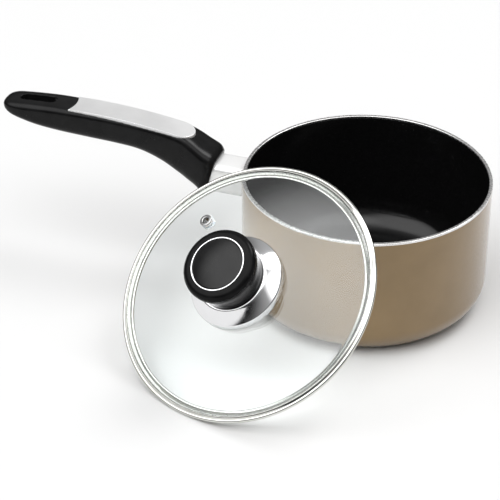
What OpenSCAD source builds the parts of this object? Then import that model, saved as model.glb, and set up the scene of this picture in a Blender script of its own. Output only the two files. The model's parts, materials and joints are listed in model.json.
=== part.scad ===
// Saucepan, 16 cm, with one long handle and a domed glass lid that leans against the rim.
// Millimetres, +Z up. The origin is the centre of the pan's flat base, and the handle
// points along -X. The lid stands on its edge beside the pan and rests on the pan's rim.

/* [Pan] */
// Outside diameter of the rim
pan_d = 160; // [150:1:170]
// Height from the base to the top of the rim
pan_h = 85.8; // [80:0.2:92]
// Outside radius of the corner between wall and base
corner_r = 18; // [12:1:20]
// Inside radius of the corner between wall and floor
inner_corner = 20; // [16:1:20]
// Thickness of the aluminium wall
wall_t = 1.7; // [1.5:0.1:2]
// Thickness of the aluminium floor
floor_t = 3; // [2.6:0.1:3.4]
// Thickness of the enamel and of the non-stick lining
coat_t = 0.3; // [0.2:0.05:0.3]
// Height of the bare rim above the enamel
bare_rim_h = 1.4; // [1.2:0.1:2]

/* [Handle] */
// Distance from the pan's axis to the tip of the handle
handle_reach = 253.5; // [251:0.5:258]
// Distance from the pan's axis to the middle of the hanging slot
slot_s = 229; // [228:1:230]
// Length of the hanging slot
slot_len = 26; // [24:1:27]
// Width of the hanging slot
slot_w = 7.5; // [7:0.5:8.5]
// Width of the flame guard
guard_w = 22; // [20:0.5:23]
// Height of the flame guard
guard_h = 22; // [20:0.5:22]
// Diameter of the long screw
screw_d = 5; // [4:0.5:5]

/* [Lid] */
// Outside diameter of the lid's rolled bead
lid_d = 169.4; // [169:0.1:170]
// Rise of the dome above its seat
dome_rise = 9.9; // [9.5:0.1:10.5]
// Thickness of the glass
glass_t = 4; // [3.8:0.1:4.2]
// Depth of the band's lip below the bead's centre
lip_depth = 2.3; // [1.8:0.1:2.3]
// Distance of the steam vent from the lid's centre
vent_dist = 53.6; // [50:0.2:58]
// Direction of the steam vent, seen from above the lid
vent_az = -122; // [-180:1:180]

/* [Knob] */
// Diameter of the knob's head
knob_d = 46.8; // [44:0.2:47.4]
// Height of the knob's ring above the lid's bead
knob_top = 45; // [43:0.5:47]
// Outside diameter of the silver inlay ring
ring_d = 34.8; // [34:0.2:36]
// Outside diameter of the polished skirt
skirt_d = 60; // [58:1:62]

/* [Lean] */
// Angle between the leaning lid and the table
lean_tilt = 38.2; // [36:0.2:40]
// Direction in which the lid stands from the pan's axis
lean_az = -110; // [-130:1:-70]
// Sideways distance of the lid's centre from the line through the pan's axis
lean_shift = -7.6; // [-7.6:0.2:0]
// Gap between the leaning dome and the rim
lean_gap = 0.7; // [0.5:0.05:0.8]

/* [Hidden] */
$fn = 120;
eps = 0.01;

// pan
pan_r = pan_d / 2;
metal_r = pan_r - coat_t;
bore_r = metal_r - wall_t;
lined_r = bore_r - coat_t;
enamel_top = pan_h - bare_rim_h;
groove_pitch = 6;
groove_depth = 0.4;

// handle: [s_top, z_top, s_bottom, z_bottom, half_width, squareness of the upper half] at chosen
// stations, where s is the distance from the pan's axis; the grip is a smooth loft through them
STATIONS = [
    [100.5, 81.5, 108.5, 50.5, 12.2, 5],
    [103.5, 84.8, 110.5, 53.5, 14, 5],
    [110, 88.3, 114.5, 58.5, 13.8, 5],
    [117.5, 93, 121, 62.5, 12.8, 5],
    [124, 96, 127.5, 66.3, 11.8, 5],
    [134, 97.8, 140, 73.4, 11.1, 5],
    [150, 99.3, 154.5, 78.6, 10.9, 5],
    [170, 100.8, 170, 80.4, 11.2, 5],
    [190, 101.6, 190, 81.4, 11.7, 5],
    [212, 102.2, 211, 82.6, 12.2, 4.2],
    [229, 101.6, 227, 84.4, 12.2, 3.6],
    [handle_reach - 13, 100.8, handle_reach - 15, 87.1, 11.8, 3.2],
    [handle_reach - 6.5, 100.2, handle_reach - 7.5, 89.4, 10.8, 3],
    [handle_reach - 2.6, 99.3, handle_reach - 3.4, 91.6, 8.8, 2.8],
    [handle_reach - 0.7, 98.2, handle_reach - 1.2, 93.6, 6, 2.6],
    [handle_reach, 97, handle_reach, 95.6, 2.4, 2.4]
];
STEPS = 3;
SIDES = 28;
base_squareness = 2.8;

guard_t = 0.8;
guard_z = 68;
guard_end = 108;
guard_corner = 5;
arm_w = 12;
arm_gap = 0.3;
saddle_t = 1.6;
saddle_w = 18;
saddle_h = 17;

// the long screw's axis, with its own z along the screw towards the tip
axis_s = 121;
axis_z = 83;
axis_rise = 5.5;
nut_d = 10;
nut_len = 12;
head_d = 9;
head_h = 3;
washer_t = 1.2;
seat_at = 82;
counterbore_d = 10.4;
end_ds = 3.5 * sin(axis_rise);
end_dz = 3.5 * cos(axis_rise);
ARM = [[81, 64], [81, 73], [98, 76], [108.5, 77.8], [axis_s - end_ds, axis_z + end_dz],
       [axis_s + end_ds, axis_z - end_dz], [109, 71.5], [93, 66]];

// silver plate in the grip's top
insert_w = 18.8;
insert_start = 118;
insert_end = 204;
insert_t = 2.6;
notch_r = 22;
notch_depth = 2;
insert_bow_r = 403;
insert_bow_s = 193.5;
insert_bow_z = 102;
pin_d = 4;
pin_h = 7;
pin_z = 92.6;
PINS = [150, 172];

// lid, with z = 0 in the plane of the bead's centre
bead_r = 1.4;
bead_c = lid_d / 2 - bead_r;
seat_r = 78;
seat_z = -0.2;
glass_r = bead_c - bead_r - 0.1;
edge_z = -0.75;
bevel_z = 1;
bevel_w = 2.2;
under_r = (seat_r * seat_r + dome_rise * dome_rise) / (2 * dome_rise);
top_r = under_r + glass_t;
dome_c = seat_z + dome_rise - under_r;
glass_top = dome_c + top_r;
glass_under = dome_c + under_r;
function top_at(r) = dome_c + sqrt(top_r * top_r - r * r);
band_t = 0.6;
leaf_in = 81.5;
leaf_z = 1.9;
lip_r = 77;

// vent
vent_hole_r = 2.6;
vent_tilt = asin(vent_dist / top_r);

// knob stack, measured from the glass
gasket_t = 1.5;
neck_r = 8;
neck_z = glass_top + gasket_t;
skirt_t = 0.8;
skirt_top = knob_top - 20.6;
skirt_r = skirt_d / 2;
skirt_edge = 1.6;
foot_r = 20.6;
head_r = knob_d / 2;
head_z = knob_top - 4;
head_round = 3.9;
ring_r = ring_d / 2;
ring_w = 1.2;
ring_z = knob_top - 1.6;
bolt_r = 2;
insert_r = 3.5;
insert_top = 31;

// leaning lid: its centre's height puts the bead on the table, and its distance from the
// pan's axis puts the dome's inside lean_gap away from the outer edge of the rim
lid_z = bead_c * sin(lean_tilt) + bead_r;
dome_world_z = lid_z + dome_c * cos(lean_tilt);
reach = sqrt(pow(under_r - lean_gap, 2) - pow(pan_h - dome_world_z, 2));
dome_back = sqrt(pow(reach - pan_r, 2) - pow(lean_shift, 2));
lid_x = -dome_back - dome_c * sin(lean_tilt);

module place_lid() {
    rotate([0, 0, lean_az]) translate([lid_x, lean_shift, lid_z]) rotate([0, lean_tilt, 0]) children();
}

module place_handle() {
    rotate([0, 0, 180]) children();
}

module on_screw() {
    place_handle() translate([axis_s, 0, axis_z]) rotate([0, 90 - axis_rise, 0]) children();
}

// flat outline in the handle's side view, made wide across the handle
module across(width) {
    place_handle() translate([0, width / 2, 0]) rotate([90, 0, 0]) linear_extrude(width) children();
}

module tube_at(z0, h, r_in, r_out) {
    translate([0, 0, z0]) difference() {
        cylinder(r = r_out, h = h);
        translate([0, 0, -eps]) cylinder(r = r_in, h = h + 2 * eps);
    }
}

// half outline of a round vessel: flat base, true arc at the corner, straight wall
module cup_outline(r, z0, z1, corner) {
    translate([0, z0]) square([r - corner, z1 - z0]);
    translate([0, z0 + corner]) square([r, z1 - z0 - corner]);
    intersection() {
        translate([r - corner, z0 + corner]) circle(r = corner);
        translate([0, z0]) square([r, z1 - z0]);
    }
}

// upright bar in a half outline, with its two top corners rounded
module topped_bar(r0, r1, z0, z1, round_r) {
    translate([r0, z0]) square([r1 - r0, z1 - z0 - round_r]);
    translate([r0 + round_r, z0]) square([r1 - r0 - 2 * round_r, z1 - z0]);
    for (r = [r0 + round_r, r1 - round_r]) translate([r, z1 - round_r]) circle(r = round_r, $fn = 48);
}

module pan_shell() {
    color("gainsboro") difference() {
        rotate_extrude() {
            difference() {
                cup_outline(metal_r, 0, pan_h - 1, corner_r - coat_t);
                cup_outline(bore_r, floor_t, pan_h + 1, inner_corner + coat_t);
            }
            topped_bar(lined_r, pan_r, enamel_top, pan_h, 0.9);
        }
        for (r = [12 : groove_pitch : 54]) tube_at(-1, 1 + groove_depth, r, r + 1.6);
    }
}

module outer_enamel() {
    color("rosybrown") rotate_extrude() difference() {
        cup_outline(pan_r, 0, enamel_top, corner_r);
        cup_outline(metal_r, 0, pan_h, corner_r - coat_t);
        square([pan_r, 0.6]);
    }
}

module nonstick_coating() {
    color("dimgray") rotate_extrude() difference() {
        cup_outline(bore_r, floor_t, enamel_top, inner_corner + coat_t);
        cup_outline(lined_r, floor_t + coat_t, pan_h, inner_corner);
    }
}

module handle_bracket() {
    color("silver") {
        intersection() {
            tube_at(guard_z - saddle_h / 2, saddle_h, pan_r, pan_r + saddle_t);
            translate([-pan_r - 5, -saddle_w / 2, 0]) cube([30, saddle_w, pan_h]);
        }
        difference() {
            across(arm_w) polygon(ARM);
            cylinder(r = pan_r + saddle_t / 2, h = pan_h);
            on_screw() translate([0, 0, -14]) cylinder(d = screw_d + 1, h = 20, $fn = 48);
        }
    }
}

module bracket_nut() {
    color("slategray") on_screw() difference() {
        cylinder(d = nut_d, h = nut_len, $fn = 48);
        translate([0, 0, -1]) cylinder(d = screw_d, h = nut_len + 2, $fn = 48);
    }
}

// rectangle with round corners, centred
module soft_rect(w, h, r) {
    square([w - 2 * r, h], center = true);
    square([w, h - 2 * r], center = true);
    for (x = [-1, 1], y = [-1, 1]) translate([x * (w / 2 - r), y * (h / 2 - r)]) circle(r = r, $fn = 48);
}

module guard_bar(gap, s0, s1) {
    place_handle() translate([s0, 0, guard_z]) rotate([90, 0, 90]) linear_extrude(s1 - s0)
        soft_rect(guard_w - 2 * gap, guard_h - 2 * gap, guard_corner - gap);
}

module flame_guard() {
    color("silver") difference() {
        guard_bar(0, pan_r - 4, guard_end);
        guard_bar(guard_t, pan_r - 6, guard_end + 1);
        translate([0, 0, guard_z - guard_h]) cylinder(r = pan_r, h = 2 * guard_h);
    }
}

// Catmull-Rom curve through p1 and p2
function between(p0, p1, p2, p3, t) =
    0.5 * (2 * p1 + (p2 - p0) * t + (2 * p0 - 5 * p1 + 4 * p2 - p3) * t * t
    + (3 * p1 - p0 - 3 * p2 + p3) * t * t * t);
LAST = len(STATIONS) - 1;
function station(i) = STATIONS[max(0, min(LAST, i))];
SMOOTH = concat(
    [for (i = [0 : LAST - 1], k = [0 : STEPS - 1])
        between(station(i - 1), station(i), station(i + 1), station(i + 2), k / STEPS)],
    [STATIONS[LAST]]);
function power(v, n) = sign(v) * pow(abs(v), 2 / n);
function ring_point(q, a) =
    let (n = sin(a) >= 0 ? q[5] : base_squareness, up = power(sin(a), n)) [
        (q[0] + q[2]) / 2 + (q[0] - q[2]) / 2 * up,
        q[4] * power(cos(a), n),
        (q[1] + q[3]) / 2 + (q[1] - q[3]) / 2 * up];

module grip_form() {
    rings = len(SMOOTH);
    points = [for (q = SMOOTH, j = [0 : SIDES - 1]) ring_point(q, 360 * j / SIDES)];
    sides = [for (i = [0 : rings - 2], j = [0 : SIDES - 1], half = [0, 1])
        let (a = i * SIDES + j, b = i * SIDES + (j + 1) % SIDES)
            half == 0 ? [a, b, b + SIDES] : [a, b + SIDES, a + SIDES]];
    front = [[for (j = [0 : SIDES - 1]) SIDES - 1 - j]];
    tip = [[for (j = [0 : SIDES - 1]) (rings - 1) * SIDES + j]];
    place_handle() polyhedron(points = points, faces = concat(sides, front, tip));
}

module slot_cut() {
    place_handle() translate([slot_s, 0, 70]) {
        for (s = [-1, 1]) translate([s * (slot_len - slot_w) / 2, 0, 0]) cylinder(d = slot_w, h = 50);
        translate([-(slot_len - slot_w) / 2, -slot_w / 2, 0]) cube([slot_len - slot_w, slot_w, 50]);
    }
}

// the plate's outline from above: round end towards the pan, notched end towards the tip
module insert_outline(gap) {
    r = insert_w / 2 + gap;
    s0 = insert_start + insert_w / 2;
    translate([s0, 0]) circle(r = r);
    difference() {
        translate([s0, -r]) square([insert_end + gap - s0, 2 * r]);
        translate([insert_end + gap + notch_r - notch_depth, 0]) circle(r = notch_r);
    }
}

// a bowed layer under the plate's top arc, inside the plate's outline
module insert_layer(gap, above) {
    intersection() {
        across(40) translate([insert_bow_s, insert_bow_z - insert_bow_r]) difference() {
            circle(r = insert_bow_r + above, $fn = 720);
            circle(r = insert_bow_r - insert_t, $fn = 720);
        }
        place_handle() translate([0, 0, 60]) linear_extrude(60) insert_outline(gap);
    }
}

module insert_pins(gap) {
    for (s = PINS) place_handle() translate([s, 0, pin_z]) cylinder(d = pin_d + 2 * gap, h = pin_h, $fn = 48);
}

module handle_insert() {
    color("silver") {
        insert_layer(0, 0);
        insert_pins(0);
    }
}

module handle_grip() {
    color([0.13, 0.13, 0.14]) difference() {
        grip_form();
        slot_cut();
        insert_layer(0.1, 5);
        insert_pins(0.1);
        guard_bar(0, pan_r, guard_end);
        across(arm_w + 2 * arm_gap) polygon([[100, 70], [100, 79], [121.7, 87.4], [121.9, 79], [110, 70.6]]);
        on_screw() {
            translate([0, 0, -2]) cylinder(d = nut_d + 0.2, h = nut_len + 2.2, $fn = 48);
            cylinder(d = screw_d + 0.4, h = seat_at + 1, $fn = 48);
            translate([0, 0, seat_at]) cylinder(d = counterbore_d, h = 16, $fn = 48);
        }
    }
}

module handle_screw() {
    color("silver") on_screw() difference() {
        union() {
            translate([0, 0, 1]) cylinder(d = screw_d, h = seat_at + washer_t - 1, $fn = 48);
            translate([0, 0, seat_at + washer_t]) cylinder(d = head_d, h = head_h, $fn = 48);
        }
        for (turn = [0, 90]) rotate([0, 0, turn])
            translate([-2.5, -0.5, seat_at + washer_t + head_h - 1.6]) cube([5, 1, 3]);
    }
}

module handle_washer() {
    color("darkgray") on_screw() tube_at(seat_at, washer_t, screw_d / 2, 4.4);
}

module at_vent(z) {
    place_lid() translate([0, 0, dome_c]) rotate([0, 0, vent_az]) rotate([0, vent_tilt, 0])
        translate([0, 0, under_r + z]) children();
}

// what the slanting bevel takes off the glass's upper edge
module bevel_cut() {
    r0 = glass_r - bevel_w;
    z0 = top_at(r0);
    steep = (z0 - bevel_z) / bevel_w;
    rotate_extrude() polygon([[r0 - 1, z0 + steep], [glass_r + 1, bevel_z - steep], [glass_r + 1, z0 + 5],
                              [r0 - 1, z0 + 5]]);
}

module lid_glass() {
    color("lightcyan") difference() {
        place_lid() difference() {
            intersection() {
                translate([0, 0, dome_c]) sphere(r = top_r);
                translate([0, 0, edge_z]) cylinder(r = glass_r, h = 30);
            }
            translate([0, 0, dome_c]) sphere(r = under_r);
            bevel_cut();
            cylinder(r = bolt_r + 0.8, h = 40, $fn = 48);
        }
        at_vent(-2) cylinder(r = vent_hole_r, h = 10, $fn = 48);
    }
}

module lid_rim_band() {
    bottom = -bead_r;
    color("silver") place_lid() rotate_extrude() {
        translate([bead_c, 0]) circle(r = bead_r, $fn = 48);
        translate([lip_r - band_t, bottom]) square([bead_c - lip_r + band_t, band_t]);
        polygon([[bead_c, bead_r - band_t], [bead_c, bead_r], [leaf_in, leaf_z + band_t / 2],
                 [leaf_in, leaf_z - band_t / 2]]);
        translate([leaf_in, leaf_z]) circle(r = band_t / 2, $fn = 48);
        translate([lip_r - band_t, -lip_depth]) square([band_t, lip_depth + bottom + band_t / 2]);
    }
}

module vent_eyelet() {
    color("silver") at_vent(0) {
        tube_at(-1.6, glass_t + 3.6, vent_hole_r - 0.6, vent_hole_r - 0.05);
        tube_at(glass_t + 0.8, 1.2, vent_hole_r - 0.6, 4.1);
        tube_at(-1.6, 0.8, vent_hole_r - 0.6, 3.6);
    }
}

module vent_gasket() {
    color("whitesmoke") at_vent(0) {
        tube_at(glass_t + 0.15, 0.65, vent_hole_r, 4.5);
        tube_at(-0.8, 0.65, vent_hole_r, 4.2);
    }
}

// half outline of the sheet-metal bell: rim on the glass, slope, flat top
module skirt_outline(inset) {
    r = skirt_r - inset;
    z = skirt_top - inset;
    shoulder = skirt_top - 6.4 - inset;
    polygon([[0, 0], [r, 0], [r, shoulder - skirt_edge], [foot_r + 2, z - 0.9], [foot_r, z], [0, z]]);
    translate([r - skirt_edge, shoulder - skirt_edge]) circle(r = skirt_edge, $fn = 48);
}

module knob_skirt() {
    color("silver") place_lid() difference() {
        rotate_extrude() difference() {
            skirt_outline(0);
            skirt_outline(skirt_t);
            square([neck_r + 0.1, knob_top]);
        }
        translate([0, 0, dome_c]) sphere(r = top_r + 0.05, $fn = 240);
    }
}

module knob_body() {
    color([0.12, 0.12, 0.13]) place_lid() difference() {
        rotate_extrude() {
            polygon([[0, neck_z], [neck_r, neck_z], [neck_r, skirt_top], [foot_r, skirt_top],
                     [head_r - 0.6, head_z - 3], [head_r, head_z], [head_r - head_round, head_z],
                     [head_r - head_round, knob_top - 0.1], [0, knob_top - 0.1]]);
            translate([head_r - head_round, knob_top - 0.1 - head_round]) circle(r = head_round);
        }
        translate([0, 0, ring_z]) cylinder(r = ring_r, h = 5);
        translate([0, 0, neck_z - 1]) cylinder(r = insert_r, h = insert_top - neck_z + 1, $fn = 48);
    }
}

module knob_ring() {
    color("silver") place_lid() rotate_extrude()
        topped_bar(ring_r - ring_w, ring_r, ring_z, knob_top + 0.2, 0.3);
}

module knob_cap() {
    rise = 1.5;
    cap_r = ring_r - ring_w;
    ball = (cap_r * cap_r + rise * rise) / (2 * rise);
    color([0.1, 0.1, 0.11]) place_lid() rotate_extrude() intersection() {
        translate([0, ring_z]) square([cap_r, 6]);
        translate([0, knob_top - 0.3 + rise - ball]) circle(r = ball, $fn = 720);
    }
}

module knob_insert() {
    color("goldenrod") place_lid() tube_at(neck_z + 0.5, insert_top - neck_z - 0.5, bolt_r, insert_r);
}

module upper_gasket() {
    color("whitesmoke") place_lid() rotate_extrude() difference() {
        translate([bolt_r + 0.8, glass_top - 1]) square([6.2, gasket_t + 1]);
        translate([0, dome_c]) circle(r = top_r, $fn = 1440);
    }
}

module lower_gasket() {
    color("whitesmoke") place_lid() rotate_extrude() intersection() {
        translate([bolt_r + 0.8, glass_under - gasket_t]) square([5.7, gasket_t + 1]);
        translate([0, dome_c]) circle(r = under_r, $fn = 1440);
    }
}

module knob_washer() {
    color("silver") place_lid() tube_at(glass_under - gasket_t - 1, 1, bolt_r + 0.2, 7);
}

module knob_screw() {
    head_top = glass_under - gasket_t - 1;
    color("silver") place_lid() difference() {
        union() {
            translate([0, 0, head_top - 2.6]) cylinder(r = 4, h = 2.6, $fn = 48);
            translate([0, 0, head_top - 1]) cylinder(r = bolt_r, h = insert_top - 1 - head_top, $fn = 48);
        }
        for (turn = [0, 90]) rotate([0, 0, turn]) translate([-2.2, -0.5, head_top - 4]) cube([4.4, 1, 2.8]);
    }
}

pan_shell();
outer_enamel();
nonstick_coating();
handle_bracket();
bracket_nut();
flame_guard();
handle_grip();
handle_insert();
handle_screw();
handle_washer();
lid_glass();
lid_rim_band();
vent_eyelet();
vent_gasket();
knob_skirt();
knob_body();
knob_ring();
knob_cap();
knob_insert();
upper_gasket();
lower_gasket();
knob_washer();
knob_screw();
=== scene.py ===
"""Saucepan with a glass lid leaning on its rim: meshes, materials, light and camera round the frame."""
import json
import math
import bmesh
import bpy
from mathutils import Matrix, Vector


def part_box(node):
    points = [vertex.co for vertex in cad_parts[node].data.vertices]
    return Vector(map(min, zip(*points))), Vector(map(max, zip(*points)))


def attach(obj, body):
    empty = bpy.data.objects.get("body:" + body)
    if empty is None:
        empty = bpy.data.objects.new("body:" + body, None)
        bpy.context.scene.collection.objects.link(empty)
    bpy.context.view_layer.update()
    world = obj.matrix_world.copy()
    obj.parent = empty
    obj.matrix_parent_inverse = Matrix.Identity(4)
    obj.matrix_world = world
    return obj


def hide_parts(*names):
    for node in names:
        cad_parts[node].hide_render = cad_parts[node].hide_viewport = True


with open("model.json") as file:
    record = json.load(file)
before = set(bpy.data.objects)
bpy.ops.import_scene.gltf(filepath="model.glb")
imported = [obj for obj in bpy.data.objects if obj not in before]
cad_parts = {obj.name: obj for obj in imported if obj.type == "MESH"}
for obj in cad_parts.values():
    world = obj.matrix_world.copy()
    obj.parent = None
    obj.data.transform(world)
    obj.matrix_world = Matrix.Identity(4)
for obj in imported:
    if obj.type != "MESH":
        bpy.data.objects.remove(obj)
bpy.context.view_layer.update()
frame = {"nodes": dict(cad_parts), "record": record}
MM = 0.001


# ---------------------------------------------------------------- outlines
def arc(cx, cz, r, start, end, steps=12):
    """Points of an arc about (cx, cz), from start to end degrees."""
    turn = [math.radians(start + (end - start) * i / steps) for i in range(steps + 1)]
    return [(cx + r * math.cos(a), cz + r * math.sin(a)) for a in turn]


def dome(centre_z, r, r0, r1, steps=40):
    """Points along a sphere's outline, between two distances from its axis."""
    out = []
    for i in range(steps + 1):
        x = r0 + (r1 - r0) * i / steps
        out.append((x, centre_z + math.sqrt(r * r - x * x)))
    return out


def bar(r0, r1, z0, z1, soft):
    """A closed bar outline with four round corners, anticlockwise."""
    out = arc(r1 - soft, z0 + soft, soft, -90, 0, 6)
    out += arc(r1 - soft, z1 - soft, soft, 0, 90, 6)
    out += arc(r0 + soft, z1 - soft, soft, 90, 180, 6)
    out += arc(r0 + soft, z0 + soft, soft, 180, 270, 6)
    return out


# ---------------------------------------------------------------- meshes
def add_object(name, mesh, body, slot, *replaced):
    obj = bpy.data.objects.new(name, mesh)
    bpy.context.scene.collection.objects.link(obj)
    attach(obj, body)
    if replaced:
        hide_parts(*replaced)
    return obj


def finish_mesh(mesh, sharp=38):
    mesh.shade_smooth()
    mesh.set_sharp_from_angle(angle=math.radians(sharp))
    return mesh


def mesh_of(name, verts, faces, sharp=38):
    mesh = bpy.data.meshes.new(name)
    mesh.from_pydata([Vector(v) for v in verts], [], faces)
    mesh.validate()
    work = bmesh.new()
    work.from_mesh(mesh)
    bmesh.ops.recalc_face_normals(work, faces=work.faces)
    work.to_mesh(mesh)
    work.free()
    return finish_mesh(mesh, sharp)


def turned_mesh(name, outline, place=None, sides=256, closed=True, sharp=38):
    """A body of revolution about the place's Z from (radius, height) points in mm."""
    place = place or Matrix.Identity(4)
    verts, rows = [], []
    for r, z in outline:
        if r < 1e-6:
            rows.append([len(verts)])
            verts.append(place @ Vector((0, 0, z * MM)))
            continue
        row = []
        for i in range(sides):
            a = 2 * math.pi * i / sides
            row.append(len(verts))
            verts.append(place @ Vector((r * math.cos(a) * MM, r * math.sin(a) * MM, z * MM)))
        rows.append(row)
    faces = []
    pairs = list(zip(rows, rows[1:]))
    if closed:
        pairs.append((rows[-1], rows[0]))
    for a, b in pairs:
        for i in range(sides):
            j = (i + 1) % sides
            if len(a) == 1:
                faces.append((a[0], b[i], b[j]))
            elif len(b) == 1:
                faces.append((a[i], a[j], b[0]))
            else:
                faces.append((a[i], a[j], b[j], b[i]))
    return mesh_of(name, verts, faces, sharp)


def apply_modifiers(obj):
    """Bakes an object's modifiers into its mesh."""
    graph = bpy.context.evaluated_depsgraph_get()
    mesh = bpy.data.meshes.new_from_object(obj.evaluated_get(graph))
    obj.modifiers.clear()
    old = obj.data
    obj.data = mesh
    bpy.data.meshes.remove(old)


def work_object(name, mesh):
    """An object that is only worked on or cut with, and is removed before the scene is finished."""
    obj = bpy.data.objects.new(name, mesh)
    bpy.context.scene.collection.objects.link(obj)
    return obj


def cut_away(obj, tools):
    for tool in tools:
        mod = obj.modifiers.new("cut", "BOOLEAN")
        mod.operation = "DIFFERENCE"
        mod.solver = "EXACT"
        mod.object = tool
    apply_modifiers(obj)
    for tool in tools:
        bpy.data.objects.remove(tool)


# ---------------------------------------------------------------- materials
def new_material(name):
    mat = bpy.data.materials.new(name)
    mat.use_nodes = True
    tree = mat.node_tree
    shader = next(n for n in tree.nodes if n.type == "BSDF_PRINCIPLED")
    return mat, tree, shader


def put(shader, **values):
    """Sets constant values on the shader's own sockets."""
    names = {"rough": "Roughness", "metal": "Metallic", "spec": "Specular IOR Level", "ior": "IOR",
             "coat": "Coat Weight", "coat_rough": "Coat Roughness",
             "transmission": "Transmission Weight", "subsurface": "Subsurface Weight"}
    for key, value in values.items():
        if key == "color":
            shader.inputs["Base Color"].default_value = (*value, 1)
        else:
            shader.inputs[names[key]].default_value = value


def noise(tree, scale, detail, stretch=None):
    coords = tree.nodes.new("ShaderNodeTexCoord")
    tex = tree.nodes.new("ShaderNodeTexNoise")
    tex.inputs["Scale"].default_value = scale
    tex.inputs["Detail"].default_value = detail
    tex.inputs["Roughness"].default_value = 0.55
    source = coords.outputs["Object"]
    if stretch:
        mapping = tree.nodes.new("ShaderNodeMapping")
        mapping.inputs["Scale"].default_value = stretch
        tree.links.new(source, mapping.inputs["Vector"])
        source = mapping.outputs["Vector"]
    tree.links.new(source, tex.inputs["Vector"])
    return tex.outputs["Fac"]


def roughness(tree, shader, value, low, high):
    """Spreads the shader's roughness over low..high by a noise value."""
    ranged = tree.nodes.new("ShaderNodeMapRange")
    ranged.inputs["From Min"].default_value = 0.3
    ranged.inputs["From Max"].default_value = 0.7
    ranged.inputs["To Min"].default_value = low
    ranged.inputs["To Max"].default_value = high
    tree.links.new(value, ranged.inputs["Value"])
    tree.links.new(ranged.outputs["Result"], shader.inputs["Roughness"])


def two_tone(tree, shader, value, dark, light):
    """Blends the shader's colour between two tones by a noise value."""
    ramp = tree.nodes.new("ShaderNodeValToRGB")
    ramp.color_ramp.elements[0].position = 0.35
    ramp.color_ramp.elements[0].color = (*dark, 1)
    ramp.color_ramp.elements[1].position = 0.65
    ramp.color_ramp.elements[1].color = (*light, 1)
    tree.links.new(value, ramp.inputs["Fac"])
    tree.links.new(ramp.outputs["Color"], shader.inputs["Base Color"])


def bump(tree, shader, height, strength, depth):
    node = tree.nodes.new("ShaderNodeBump")
    node.inputs["Strength"].default_value = strength
    node.inputs["Distance"].default_value = depth
    tree.links.new(height, node.inputs["Height"])
    tree.links.new(node.outputs["Normal"], shader.inputs["Normal"])


def rings(tree, pitch):
    """Concentric lathe lines about the pan's axis: a wave of the distance from it."""
    coords = tree.nodes.new("ShaderNodeTexCoord")
    flat = tree.nodes.new("ShaderNodeMapping")
    flat.inputs["Scale"].default_value = (1, 1, 0)
    length = tree.nodes.new("ShaderNodeVectorMath")
    length.operation = "LENGTH"
    wave = tree.nodes.new("ShaderNodeMath")
    wave.operation = "SINE"
    times = tree.nodes.new("ShaderNodeMath")
    times.operation = "MULTIPLY"
    times.inputs[1].default_value = 2 * math.pi / pitch
    tree.links.new(coords.outputs["Object"], flat.inputs["Vector"])
    tree.links.new(flat.outputs["Vector"], length.inputs[0])
    tree.links.new(length.outputs["Value"], times.inputs[0])
    tree.links.new(times.outputs["Value"], wave.inputs[0])
    return wave.outputs["Value"]


def make_enamel():
    mat, tree, shader = new_material("bronze_enamel")
    put(shader, metal=0.35, spec=0.5, coat=1.0, coat_rough=0.1)
    two_tone(tree, shader, noise(tree, 26, 3), (0.195, 0.12, 0.038), (0.222, 0.139, 0.05))
    roughness(tree, shader, noise(tree, 900, 2), 0.3, 0.4)
    bump(tree, shader, noise(tree, 1600, 2), 0.05, 0.0002)
    return mat


def make_nonstick():
    mat, tree, shader = new_material("nonstick")
    put(shader, spec=0.3)
    two_tone(tree, shader, noise(tree, 700, 3), (0.003, 0.003, 0.0031), (0.006, 0.006, 0.0062))
    roughness(tree, shader, noise(tree, 60, 3), 0.11, 0.15)
    bump(tree, shader, noise(tree, 300, 2), 0.006, 0.0002)
    return mat


def make_bare_aluminium():
    mat, tree, shader = new_material("bare_aluminium")
    put(shader, metal=1.0)
    two_tone(tree, shader, noise(tree, 40, 3), (0.72, 0.71, 0.7), (0.86, 0.855, 0.85))
    roughness(tree, shader, noise(tree, 500, 2), 0.2, 0.34)
    bump(tree, shader, rings(tree, 0.0006), 0.12, 0.00005)
    return mat


def make_phenolic(name, spec, rough, strength):
    mat, tree, shader = new_material(name)
    put(shader, spec=spec)
    two_tone(tree, shader, noise(tree, 90, 4), (0.004, 0.004, 0.0042), (0.008, 0.008, 0.0082))
    roughness(tree, shader, noise(tree, 45, 3), rough[0], rough[1])
    bump(tree, shader, noise(tree, 900, 3), strength, 0.0003)
    return mat


def make_steel(name, dark, light, rough, grain=None, metal=1.0, relief=0.04):
    mat, tree, shader = new_material(name)
    put(shader, metal=metal)
    two_tone(tree, shader, noise(tree, 30, 3), dark, light)
    roughness(tree, shader, noise(tree, 220, 3, stretch=grain), rough[0], rough[1])
    bump(tree, shader, noise(tree, 420, 2, stretch=grain), relief, 0.0001)
    return mat


def make_glass():
    """Clear glass that lets lamps' rays through, so that what stands behind it is lit."""
    mat, tree, shader = new_material("clear_glass")
    put(shader, color=(0.955, 0.98, 0.98), transmission=1.0, ior=1.58)
    roughness(tree, shader, noise(tree, 18, 2), 0.0, 0.006)
    clear = tree.nodes.new("ShaderNodeBsdfTransparent")
    clear.inputs["Color"].default_value = (0.96, 0.97, 0.97, 1)
    path = tree.nodes.new("ShaderNodeLightPath")
    mix = tree.nodes.new("ShaderNodeMixShader")
    out = next(n for n in tree.nodes if n.type == "OUTPUT_MATERIAL")
    tree.links.new(path.outputs["Is Shadow Ray"], mix.inputs[0])
    tree.links.new(shader.outputs[0], mix.inputs[1])
    tree.links.new(clear.outputs[0], mix.inputs[2])
    tree.links.new(mix.outputs[0], out.inputs["Surface"])
    return mat


def make_gloss_black():
    mat, tree, shader = new_material("gloss_black")
    put(shader, spec=0.26)
    two_tone(tree, shader, noise(tree, 120, 3), (0.004, 0.004, 0.0042), (0.008, 0.008, 0.0082))
    roughness(tree, shader, noise(tree, 70, 3), 0.12, 0.18)
    return mat


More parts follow.
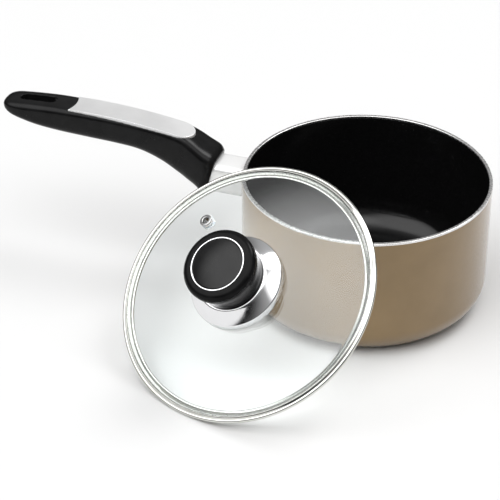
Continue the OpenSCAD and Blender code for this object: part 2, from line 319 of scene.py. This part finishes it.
def make_silicone():
    mat, tree, shader = new_material("silicone")
    put(shader, spec=0.4, subsurface=0.2)
    two_tone(tree, shader, noise(tree, 60, 3), (0.78, 0.78, 0.77), (0.86, 0.86, 0.85))
    roughness(tree, shader, noise(tree, 200, 2), 0.45, 0.6)
    return mat


def make_brass():
    mat, tree, shader = new_material("brass")
    put(shader, metal=1.0)
    two_tone(tree, shader, noise(tree, 80, 3), (0.62, 0.46, 0.2), (0.75, 0.58, 0.28))
    roughness(tree, shader, noise(tree, 300, 2), 0.25, 0.4)
    return mat


STEELS = {
    "bracket_steel": dict(dark=(0.52, 0.52, 0.53), light=(0.66, 0.66, 0.67), rough=(0.3, 0.45)),
    "polished_steel": dict(dark=(0.9, 0.9, 0.9), light=(0.96, 0.96, 0.955), rough=(0.16, 0.26), metal=0.4),
    "band_steel": dict(dark=(0.64, 0.64, 0.6), light=(0.7, 0.7, 0.67), rough=(0.08, 0.14), relief=0.01),
    "flange_steel": dict(dark=(0.42, 0.42, 0.39), light=(0.48, 0.48, 0.45), rough=(0.22, 0.3), relief=0.01),
    # near-black steel for the narrow rings beside the flange: painted shade in the band's creases
    "crease_painted_shade": dict(dark=(0.1, 0.1, 0.09), light=(0.14, 0.14, 0.12), rough=(0.3, 0.4), relief=0.01),
    # a darker steel for the vent eyelet than its polished slot: painted shade for its dark hole and the
    # shadow round it
    "vent_steel_painted_shade": dict(dark=(0.5, 0.5, 0.5), light=(0.6, 0.6, 0.6), rough=(0.1, 0.18)),
    "mirror_chrome": dict(dark=(0.8, 0.8, 0.81), light=(0.86, 0.86, 0.87), rough=(0.1, 0.16)),
    "satin_silver": dict(dark=(0.68, 0.68, 0.68), light=(0.76, 0.76, 0.76), rough=(0.34, 0.44),
                         grain=(1, 14, 14), metal=0.5),
    # lighter, smoother silver for the plate's chamfer: partly a polished cut edge, partly a painted
    # highlight
    "chamfer_and_painted_highlight": dict(dark=(0.9, 0.9, 0.9), light=(0.95, 0.95, 0.95), rough=(0.2, 0.3),
                        metal=0.6, relief=0.01),
}
MATERIALS = {
    "bronze_enamel": make_enamel(),
    "nonstick": make_nonstick(),
    "bare_aluminium": make_bare_aluminium(),
    "black_phenolic": make_phenolic("black_phenolic", 0.15, (0.15, 0.21), 0.08),
    "knob_phenolic": make_phenolic("knob_phenolic", 0.07, (0.14, 0.2), 0.05),
    "clear_glass": make_glass(),
    "gloss_black": make_gloss_black(),
    "silicone": make_silicone(),
    "brass": make_brass(),
}
MATERIALS.update({name: make_steel(name, **look) for name, look in STEELS.items()})


def dress(obj, slot):
    obj.data.materials.clear()
    obj.data.materials.append(MATERIALS[slot])


def piece(name, mesh, body, slot, *replaced, material=None):
    """A visible piece that rides a body; its material is the slot's own unless another is named."""
    obj = add_object(name, mesh, body, slot, *replaced)
    dress(obj, material or slot)
    return obj


def second_material(obj, name, chosen):
    """Gives the faces for which chosen(face) holds a further material."""
    obj.data.materials.append(MATERIALS[name])
    index = len(obj.data.materials) - 1
    for face in obj.data.polygons:
        if chosen(face):
            face.material_index = index


# ---------------------------------------------------------------- sizes, from the frame
PAN_LOW, PAN_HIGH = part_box("pan_shell")
PAN_R = (PAN_HIGH.x - PAN_LOW.x) / 2 / MM
PAN_H = PAN_HIGH.z / MM
LINED_LOW, LINED_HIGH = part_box("nonstick_coating")
LINED_R_OUT = (LINED_HIGH.x - LINED_LOW.x) / 2 / MM
FLOOR_T = LINED_LOW.z / MM
COAT_TOP = LINED_HIGH.z / MM
COAT_T = 0.3
METAL_R = PAN_R - COAT_T
CORNER_R = 18.0
CORNER_X = PAN_R - CORNER_R
ENAMEL_START = -76
LINED_R = LINED_R_OUT - COAT_T
LINED_CORNER = 20.0


def centre_of(node):
    low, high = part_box(node)
    return (low + high) / 2


# ---------------------------------------------------------------- pan
def cup(r, z, corner, top):
    """Outline of a cup's surface from its axis at height z up to its top edge."""
    floor = [(0, z), (r - corner - 24, z)]
    return floor + arc(r - corner, z + corner, corner, -90, 0, 18) + [(r, top - 12), (r, top)]


def make_pan():
    inside = cup(LINED_R_OUT, FLOOR_T, LINED_CORNER + COAT_T, COAT_TOP)
    outside = [(0, 0.0), (9, 0.0)]
    for r in range(12, 55, 6):
        outside += [(r - 0.3, 0.0), (r, 0.12), (r + 0.3, 0.4)]
        outside += [(r + 1.3, 0.4), (r + 1.6, 0.12), (r + 1.9, 0.0)]
    outside += [(CORNER_X, 0.0)] + arc(CORNER_X, CORNER_R, CORNER_R - COAT_T, -90, 0, 18)[1:]
    rim = [(METAL_R, COAT_TOP - 0.05), (PAN_R - 0.02, COAT_TOP)]
    rim += arc(PAN_R - 0.5, PAN_H - 0.5, 0.5, 0, 90, 8) + arc(LINED_R + 0.5, PAN_H - 0.5, 0.5, 90, 180, 8)
    rim += [(LINED_R, COAT_TOP + 0.02), (LINED_R_OUT, COAT_TOP)]
    piece("pan_metal", turned_mesh("pan_metal", outside + rim + inside[::-1][1:], closed=False, sides=320),
          "pan", "bare_aluminium", "pan_shell")
    skin = arc(CORNER_X, CORNER_R, CORNER_R, ENAMEL_START, 0, 18) + [(PAN_R, 40), (PAN_R, COAT_TOP - 0.12)]
    skin += [(PAN_R - 0.12, COAT_TOP), (METAL_R + 0.01, COAT_TOP), (METAL_R + 0.01, 40)]
    skin += arc(CORNER_X, CORNER_R, CORNER_R - COAT_T + 0.01, 0, ENAMEL_START, 18)
    piece("pan_enamel", turned_mesh("pan_enamel", skin, sides=320), "pan", "bronze_enamel", "outer_enamel")
    lining = cup(LINED_R, FLOOR_T + COAT_T, LINED_CORNER, COAT_TOP - 0.1) + [(LINED_R + 0.1, COAT_TOP)]
    lining += [(LINED_R_OUT - 0.01, COAT_TOP)]
    lining += cup(LINED_R_OUT - 0.01, FLOOR_T + 0.01, LINED_CORNER + COAT_T, COAT_TOP - 0.1)[::-1]
    piece("pan_lining", turned_mesh("pan_lining", lining, closed=False, sides=320),
          "pan", "nonstick", "nonstick_coating")


# ---------------------------------------------------------------- handle
REACH = -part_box("handle_grip")[0].x / MM
# (s_top, z_top, s_bottom, z_bottom, half_width, squareness of the upper half) along the handle
STATIONS = [
    (100.5, 81.5, 108.5, 50.5, 12.2, 5), (103.5, 84.8, 110.5, 53.5, 14, 5),
    (110, 88.3, 114.5, 58.5, 13.8, 5), (117.5, 93, 121, 62.5, 12.8, 5),
    (124, 96, 127.5, 66.3, 11.8, 5), (134, 97.8, 140, 73.4, 11.1, 5),
    (150, 99.3, 154.5, 78.6, 10.9, 5), (170, 100.8, 170, 80.4, 11.2, 5), (190, 101.6, 190, 81.4, 11.7, 5),
    (212, 102.2, 211, 82.6, 12.2, 4.2), (229, 101.6, 227, 84.4, 12.2, 3.6),
    (REACH - 13, 100.8, REACH - 15, 87.1, 11.8, 3.2), (REACH - 6.5, 100.2, REACH - 7.5, 89.4, 10.8, 3),
    (REACH - 2.6, 99.3, REACH - 3.4, 91.6, 8.8, 2.8), (REACH - 0.7, 98.2, REACH - 1.2, 93.6, 6, 2.6),
    (REACH, 97, REACH, 95.6, 2.4, 2.4)]
BASE_SQUARENESS = 2.8
SLOT_S, SLOT_LEN, SLOT_W = 229, 26, 7.5
BOW_R, BOW_S, BOW_Z = 403, 193.5, 102
INSERT_W, INSERT_START, INSERT_END = 18.8, 118, 204
NOTCH_R, NOTCH_DEPTH = 22, 2
INSERT_T = 2.6


def smooth_stations(steps):
    """Catmull-Rom stations, as the part's own loft has them."""
    out, last = [], len(STATIONS) - 1
    for i in range(last):
        a, b, c, d = (STATIONS[max(0, min(last, i + k))] for k in (-1, 0, 1, 2))
        for k in range(steps):
            t = k / steps
            out.append([0.5 * (2 * q + (r - p) * t + (2 * p - 5 * q + 4 * r - s) * t * t
                               + (3 * q - p - 3 * r + s) * t ** 3) for p, q, r, s in zip(a, b, c, d)])
    return out + [list(STATIONS[-1])]


def along(s, y, z):
    """A point at distance s along the handle, in metres in the frame."""
    return Vector((-s * MM, -y * MM, z * MM))


def power(v, n):
    return math.copysign(abs(v) ** (2 / n), v)


def grip_form():
    sides = 96
    verts, faces = [], []
    stations = smooth_stations(12)
    for s1, z1, s0, z0, w, squareness in stations:
        for j in range(sides):
            a = 2 * math.pi * j / sides
            n = squareness if 2 * j <= sides else BASE_SQUARENESS
            up, out = power(math.sin(a), n), power(math.cos(a), n)
            s = (s1 + s0) / 2 + (s1 - s0) / 2 * up
            z = (z1 + z0) / 2 + (z1 - z0) / 2 * up
            verts.append(along(s, w * out, z))
    for i in range(len(stations) - 1):
        for j in range(sides):
            k = (j + 1) % sides
            faces.append((i * sides + j, i * sides + k, (i + 1) * sides + k, (i + 1) * sides + j))
    faces.append(tuple(range(sides)))
    faces.append(tuple((len(stations) - 1) * sides + j for j in range(sides)))
    return mesh_of("grip_form", verts, faces)


def prism(name, outline, z0, z1):
    """A closed prism from an outline of (s, y) points in the handle's plan, between two heights."""
    n = len(outline)
    verts = [along(s, y, z0) for s, y in outline] + [along(s, y, z1) for s, y in outline]
    faces = [tuple(range(n))[::-1], tuple(range(n, 2 * n))]
    faces += [(i, (i + 1) % n, n + (i + 1) % n, n + i) for i in range(n)]
    return mesh_of(name, verts, faces)


def slot_outline():
    r, half = SLOT_W / 2, (SLOT_LEN - SLOT_W) / 2
    return arc(SLOT_S + half, 0, r, -90, 90, 20) + arc(SLOT_S - half, 0, r, 90, 270, 20)


def insert_grid(grow=0.0):
    """Points of the plate's bowed top, row by row from its round end to its notched end."""
    rows, columns = 90, 28
    half = INSERT_W / 2 + grow
    round_s = INSERT_START + INSERT_W / 2
    grid = []
    for i in range(rows + 1):
        u = i / rows
        row = []
        for j in range(columns + 1):
            y = half * (2 * j / columns - 1)
            start = round_s - math.sqrt(max(half * half - y * y, 0))
            notch = INSERT_END + grow + NOTCH_R - NOTCH_DEPTH - math.sqrt(max(NOTCH_R ** 2 - y * y, 0))
            end = min(INSERT_END + grow, notch)
            s = start + (end - start) * u
            z = BOW_Z - BOW_R + math.sqrt(BOW_R ** 2 - (s - BOW_S) ** 2)
            row.append((s, y, z))
        grid.append(row)
    return grid


def slab_from(name, grid, top, bottom):
    """A closed slab between two copies of a grid of points, one moved to its top and one to its bottom."""
    rows, columns = len(grid), len(grid[0])
    verts = [along(s, y, z + top) for row in grid for s, y, z in row]
    verts += [along(s, y, z + bottom) for row in grid for s, y, z in row]
    under = rows * columns
    faces = []
    for i in range(rows - 1):
        for j in range(columns - 1):
            q = (i * columns + j, i * columns + j + 1, (i + 1) * columns + j + 1, (i + 1) * columns + j)
            faces.append(q)
            faces.append(tuple(under + k for k in reversed(q)))
    edge = [(0, j) for j in range(columns)] + [(i, columns - 1) for i in range(1, rows)]
    edge += [(rows - 1, j) for j in range(columns - 2, -1, -1)] + [(i, 0) for i in range(rows - 2, 0, -1)]
    loop = [i * columns + j for i, j in edge]
    for a, b in zip(loop, loop[1:] + loop[:1]):
        faces.append((b, a, under + a, under + b))
    return mesh_of(name, verts, faces)


def guard_outline(grow):
    """The guard's round-cornered section as (y, z) points about its axis."""
    half, r = GUARD_W / 2 - GUARD_CORNER, GUARD_CORNER + grow
    out = []
    for cx, cz, start in ((half, half, 0), (-half, half, 90), (-half, -half, 180), (half, -half, 270)):
        out += arc(cx, cz, r, start, start + 90, 10)
    return out


GUARD_LOW, GUARD_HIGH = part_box("flame_guard")
GUARD_Z = (GUARD_LOW.z + GUARD_HIGH.z) / 2 / MM
GUARD_END = -GUARD_LOW.x / MM
GUARD_W, GUARD_CORNER, GUARD_T = 22.0, 5.0, 0.8


def guard_prism():
    outline = guard_outline(0.02)
    n = len(outline)
    verts = [along(s, y, GUARD_Z + z) for s in (90, GUARD_END + 0.1) for y, z in outline]
    faces = [tuple(range(n)), tuple(range(n, 2 * n))]
    faces += [(i, (i + 1) % n, n + (i + 1) % n, n + i) for i in range(n)]
    return mesh_of("guard_cut", verts, faces)


def make_grip():
    grip = work_object("grip_work", grip_form())
    slot = work_object("slot_cut", prism("slot_cut", slot_outline(), 70, 115))
    recess = work_object("recess_cut", slab_from("recess_cut", insert_grid(0.15), 6, -INSERT_T))
    socket = work_object("socket_cut", guard_prism())
    cut_away(grip, [slot, recess, socket])
    remesh = grip.modifiers.new("remesh", "REMESH")
    remesh.mode = "VOXEL"
    remesh.voxel_size = 0.42 * MM
    soft = grip.modifiers.new("soft", "SMOOTH")
    soft.factor = 0.5
    soft.iterations = 5
    apply_modifiers(grip)
    mesh = grip.data
    bpy.data.objects.remove(grip)
    mesh.name = "grip"
    piece("grip", finish_mesh(mesh, 180), "pan", "black_phenolic", "handle_grip")


def make_insert():
    plate = work_object("plate_work", slab_from("plate", insert_grid(), 0, -INSERT_T + 0.1))
    edge = plate.modifiers.new("edge", "BEVEL")
    edge.width = 0.6 * MM
    edge.segments = 3
    edge.limit_method = "ANGLE"
    edge.angle_limit = math.radians(50)
    apply_modifiers(plate)
    mesh = plate.data
    bpy.data.objects.remove(plate)
    insert = piece("insert_plate", finish_mesh(mesh, 40), "pan", "satin_silver", "handle_insert")
    # the chamfer faces, picked by their slope, get the lighter silver: partly a polished cut edge, partly a
    # painted highlight
    second_material(insert, "chamfer_and_painted_highlight", lambda face: 0.2 < face.normal.z < 0.93)


def make_guard():
    """A sheet sleeve, fitted to the pan's round wall at one end and tucked into the grip at the other."""
    outer, inner = guard_outline(0), guard_outline(-GUARD_T)
    n = len(outer)
    steps = 12
    verts, faces = [], []
    for ring in (outer, inner):
        for k in range(steps + 1):
            for y, z in ring:
                start = math.sqrt(PAN_R ** 2 - y * y)
                verts.append(along(start + (GUARD_END - start) * k / steps, y, GUARD_Z + z))
    rows = 2 * (steps + 1)
    order = list(range(steps + 1)) + list(range(rows - 1, steps, -1))
    for a, b in zip(order, order[1:] + order[:1]):
        for i in range(n):
            j = (i + 1) % n
            faces.append((a * n + i, a * n + j, b * n + j, b * n + i))
    piece("guard", mesh_of("guard", verts, faces), "pan", "polished_steel", "flame_guard")


# ---------------------------------------------------------------- lid
def lid_place():
    """The lid's own frame: its axis from two pieces on it, z = 0 at the centre of the bead."""
    top, low = centre_of("knob_insert"), centre_of("knob_washer")
    up = (top - low).normalized()
    side = Vector((0, 0, 1)).cross(up).normalized()
    out = side.cross(up)
    origin = low - up * WASHER_Z * MM
    return Matrix(((out.x, side.x, up.x, origin.x), (out.y, side.y, up.y, origin.y),
                   (out.z, side.z, up.z, origin.z), (0, 0, 0, 1)))


LID_R, BEAD_R = 84.7, 1.4
SEAT_R, SEAT_Z, RISE, GLASS_T = 78.0, -0.2, 9.9, 4.0
GLASS_R, EDGE_Z, BEVEL_Z, BEVEL_W = 81.8, -0.75, 1.0, 2.2
UNDER_R = (SEAT_R ** 2 + RISE ** 2) / (2 * RISE)
TOP_R = UNDER_R + GLASS_T
DOME_C = SEAT_Z + RISE - UNDER_R
GLASS_UNDER = DOME_C + UNDER_R
GLASS_TOP = DOME_C + TOP_R
WASHER_Z = GLASS_UNDER - 2.0
LID = lid_place()
KNOB_TOP, LIP_DEPTH = 45.0, 2.3
LEAF_IN, LEAF_Z = 81.5, 1.9
GROOVE_R = 82.0
FLANGE_Z, FLANGE_IN, FLANGE_OUT = EDGE_Z - 0.05, 78.5, 81.1
LIP_R = 77.3
HOLE_R = 3.3
VENT_R = 2.6
EYELET_R = VENT_R - 0.05


def top_at(r):
    return DOME_C + math.sqrt(TOP_R ** 2 - r * r)


def make_glass_dome():
    bevel_r, flat_r = GLASS_R - BEVEL_W, math.sqrt(UNDER_R ** 2 - (EDGE_Z - DOME_C) ** 2)
    steep = (top_at(bevel_r) - BEVEL_Z) / BEVEL_W
    outline = dome(DOME_C, TOP_R, HOLE_R, bevel_r - 0.4, 60)
    for w, sag in ((0.1, 0.12), (0.5, 0), (1.6, 0), (2.0, 0.1)):
        outline.append((bevel_r + w, top_at(bevel_r) - steep * w - sag))
    outline += [(GLASS_R, BEVEL_Z - 0.3)] + arc(GLASS_R - 0.25, EDGE_Z + 0.25, 0.25, 0, -90, 5)
    outline += dome(DOME_C, UNDER_R, flat_r - 0.1, HOLE_R, 60)
    outline += [(HOLE_R - 0.5, GLASS_UNDER + 0.5), (HOLE_R - 0.5, GLASS_TOP - 0.5)]
    glass = work_object("glass_work", turned_mesh("glass_dome", outline, LID, sides=288))
    drill = [(0, -4), (VENT_R, -4), (VENT_R, 9), (0, 9)]
    hole = turned_mesh("hole_cut", drill, vent_place(), sides=64, closed=False)
    cut_away(glass, [work_object("hole_cut", hole)])
    mesh = glass.data
    bpy.data.objects.remove(glass)
    piece("glass_dome", finish_mesh(mesh, 30), "lid", "clear_glass", "lid_glass")


def vent_place():
    """The vent's own frame: its axis runs through the dome's centre, z = 0 on the glass's underside."""
    middle = LID @ Vector((0, 0, DOME_C * MM))
    up = (centre_of("vent_eyelet") - middle).normalized()
    side = Vector((0, 0, 1)).cross(up).normalized()
    out = side.cross(up)
    origin = middle + up * UNDER_R * MM
    return Matrix(((out.x, side.x, up.x, origin.x), (out.y, side.y, up.y, origin.y),
                   (out.z, side.z, up.z, origin.z), (0, 0, 0, 1)))


def make_band():
    bead = LID_R - BEAD_R
    outline = arc(bead, 0, BEAD_R, -90, 112, 28)
    outline += [(GROOVE_R + 0.6, 1.42), (GROOVE_R + 0.25, 1.85)] + arc(LEAF_IN, LEAF_Z, 0.3, 60, 250, 10)
    outline += [(GROOVE_R, 1.25), (GROOVE_R, -0.7), (GROOVE_R - 0.1, FLANGE_Z)]
    outline += [(FLANGE_OUT, FLANGE_Z), (FLANGE_IN, FLANGE_Z), (LIP_R + 0.1, FLANGE_Z)]
    outline += arc(LIP_R - 0.35, -1.35, 0.55, 90, 180, 6)
    outline += arc(LIP_R - 0.6, 0.3 - LIP_DEPTH, 0.3, 180, 360, 8)
    outline += arc(LIP_R, -1.7, 0.3, 180, 90, 5)
    band = piece("rim_band", turned_mesh("rim_band", outline, LID, sides=320, sharp=50),
                 "lid", "band_steel", "lid_rim_band")
    to_lid = LID.inverted()

    def under_glass(face, r0, r1):
        middle = to_lid @ face.center
        return middle.z < 0.5 * MM and r0 * MM < math.hypot(middle.x, middle.y) < r1 * MM

    second_material(band, "flange_steel", lambda face: under_glass(face, FLANGE_IN, FLANGE_OUT))
    # the rings between lip and flange and between flange and groove get the near-black steel: painted shade
    # in the creases
    second_material(band, "crease_painted_shade", lambda face: under_glass(face, LIP_R, FLANGE_IN)
                    or under_glass(face, FLANGE_OUT, GROOVE_R))


def make_vent():
    t = GLASS_T
    outline = [(2.0, -1.2)] + arc(2.45, -1.2, 0.4, 180, 270, 4)
    outline += [(3.2, -1.6), (3.6, -1.25), (3.3, -0.85), (EYELET_R, -0.8)]
    outline += [(EYELET_R, t + 0.8), (3.6, t + 0.85)] + arc(3.5, t + 1.4, 0.58, -80, 90, 8)
    outline += [(2.9, t + 1.95)] + arc(2.6, t + 1.4, 0.6, 90, 180, 6)
    # the eyelet gets the darker steel: painted shade for its hole and the shadow round it
    piece("vent_ring", turned_mesh("vent_ring", outline, vent_place(), sides=96),
          "lid", "polished_steel", "vent_eyelet", material="vent_steel_painted_shade")


def make_knob():
    head_r, head_round, foot_r = 23.4, 3.9, 20.6
    skirt_top = KNOB_TOP - 20.6
    head_z = KNOB_TOP - 0.1 - head_round
    ring_r, ring_w = 17.4, 0.9
    recess_z = KNOB_TOP - 1.6
    neck_z = GLASS_TOP + 1.5
    body = [(0, neck_z), (7.6, neck_z), (8, neck_z + 0.4), (8, skirt_top), (foot_r - 0.5, skirt_top)]
    body += [(foot_r, skirt_top + 0.5), (foot_r + 0.15, skirt_top + 3), (foot_r + 0.7, skirt_top + 8)]
    body += [(head_r - 0.6, head_z - 4), (head_r - 0.15, head_z - 2)]
    body += arc(head_r - head_round, head_z, head_round, 0, 90, 16)
    body += [(ring_r + 0.15, KNOB_TOP - 0.1), (ring_r, KNOB_TOP - 0.3), (ring_r, recess_z), (0, recess_z)]
    piece("knob_head", turned_mesh("knob_head", body, LID, sides=160, closed=False),
          "lid", "black_phenolic", "knob_body", material="knob_phenolic")
    ring = bar(ring_r - ring_w, ring_r, recess_z, KNOB_TOP + 0.2, 0.3)
    piece("inlay_ring", turned_mesh("inlay_ring", ring, LID, sides=160), "lid", "mirror_chrome", "knob_ring")
    cap_r, rise = ring_r - ring_w, 1.9
    ball = (cap_r ** 2 + rise ** 2) / (2 * rise)
    cap = [(0, recess_z), (cap_r - 0.05, recess_z), (cap_r - 0.05, KNOB_TOP - 0.45)]
    cap += dome(KNOB_TOP - 0.3 + rise - ball, ball, cap_r - 0.3, 0, 24)
    piece("cap_disc", turned_mesh("cap_disc", cap, LID, sides=160, closed=False),
          "lid", "gloss_black", "knob_cap")
    skirt_r, edge, t = 30.0, 1.6, 0.8
    shoulder = skirt_top - 6.4
    foot = top_at(skirt_r - 0.4) + 0.06
    outer = [(skirt_r - 0.15, foot), (skirt_r, foot + 0.2)]
    outer += arc(skirt_r - edge, shoulder - edge, edge, 0, 62, 10)
    outer += [(foot_r + 2.6, skirt_top - 1.3)] + arc(foot_r + 0.6, skirt_top - 2.2, 2.2, 55, 90, 5)
    outer += [(8.1, skirt_top)]
    inner = [(8.1, skirt_top - t), (foot_r, skirt_top - t), (foot_r + 1.8, skirt_top - 1.9)]
    inner += arc(skirt_r - edge, shoulder - edge, edge - t, 62, 0, 8) + [(skirt_r - t, foot)]
    piece("skirt", turned_mesh("skirt", outer + inner, LID, sides=192, sharp=50),
          "lid", "mirror_chrome", "knob_skirt")


# ---------------------------------------------------------------- carried-over pieces
def dress_cad():
    """The pieces whose CAD shape is right keep it and get a finished material."""
    record = frame["record"]
    slots = {s["node"]: s["material_slot"] for s in record["subparts"]}
    for name, obj in frame["nodes"].items():
        dress(obj, slots[name])


# ---------------------------------------------------------------- studio
# each lamp: the way it lies, the angles in degrees at which it starts to fade and ends, and its strength
LAMPS = [
    ((0, 0, 1), 40, 88, 0.45),
    ((-0.36, -0.36, 0.86), 14, 40, 2.6),
    ((0.40, -0.20, 0.89), 12, 32, 2.0),
    ((0.35, 0.5, 0.79), 5, 18, 7.0),
]
EYE = Vector((0.2714, -1.0130, 0.7202))
HEADING, PITCH = math.radians(15) + 0.0718, 0.584
FLOOR_SIZE = 6.0


def look_at(obj, eye, forward):
    right = forward.cross(Vector((0, 0, 1))).normalized()
    up = right.cross(forward)
    obj.matrix_world = Matrix(((right.x, up.x, -forward.x, eye.x), (right.y, up.y, -forward.y, eye.y),
                               (right.z, up.z, -forward.z, eye.z), (0, 0, 0, 1)))


def make_camera():
    level = math.cos(PITCH)
    forward = Vector((-math.sin(HEADING) * level, math.cos(HEADING) * level, -math.sin(PITCH)))
    data = bpy.data.cameras.new("camera")
    data.lens = 137.36
    data.sensor_width = 36
    data.clip_end = 20
    camera = bpy.data.objects.new("camera", data)
    bpy.context.scene.collection.objects.link(camera)
    look_at(camera, EYE, forward)
    bpy.context.scene.camera = camera


def make_floor():
    corners = [(x * FLOOR_SIZE, y * FLOOR_SIZE, 0) for x, y in ((-1, -1), (1, -1), (1, 1), (-1, 1))]
    mesh = bpy.data.meshes.new("floor")
    mesh.from_pydata(corners, [], [(0, 1, 2, 3)])
    floor = bpy.data.objects.new("floor", mesh)
    bpy.context.scene.collection.objects.link(floor)
    mat, _, shader = new_material("floor")
    put(shader, color=(0.68, 0.68, 0.68), rough=0.6, spec=0.2)
    mesh.materials.append(mat)


def make_world():
    """A white studio: an even dome that dims towards the horizon, with soft-edged lamps in it."""
    world = bpy.data.worlds.new("studio")
    world.use_nodes = True
    tree = world.node_tree
    back = next(n for n in tree.nodes if n.type == "BACKGROUND")
    coords = tree.nodes.new("ShaderNodeTexCoord")
    total = None
    for toward, core, edge, strength in LAMPS:
        aim = tree.nodes.new("ShaderNodeVectorMath")
        aim.operation = "DOT_PRODUCT"
        aim.inputs[1].default_value = Vector(toward).normalized()
        tree.links.new(coords.outputs["Generated"], aim.inputs[0])
        fade = tree.nodes.new("ShaderNodeMapRange")
        fade.interpolation_type = "SMOOTHSTEP"
        fade.inputs["From Min"].default_value = math.cos(math.radians(edge))
        fade.inputs["From Max"].default_value = math.cos(math.radians(core))
        fade.inputs["To Max"].default_value = strength
        tree.links.new(aim.outputs["Value"], fade.inputs["Value"])
        if total is None:
            total = fade.outputs["Result"]
            continue
        add = tree.nodes.new("ShaderNodeMath")
        add.operation = "ADD"
        tree.links.new(total, add.inputs[0])
        tree.links.new(fade.outputs["Result"], add.inputs[1])
        total = add.outputs["Value"]
    back.inputs["Color"].default_value = (1, 1, 1, 1)
    tree.links.new(total, back.inputs["Strength"])
    bpy.context.scene.world = world
    bpy.context.scene.view_settings.view_transform = "Standard"


make_camera()
make_floor()
make_world()
dress_cad()
make_pan()
make_grip()
make_insert()
make_guard()
make_glass_dome()
make_band()
make_vent()
make_knob()
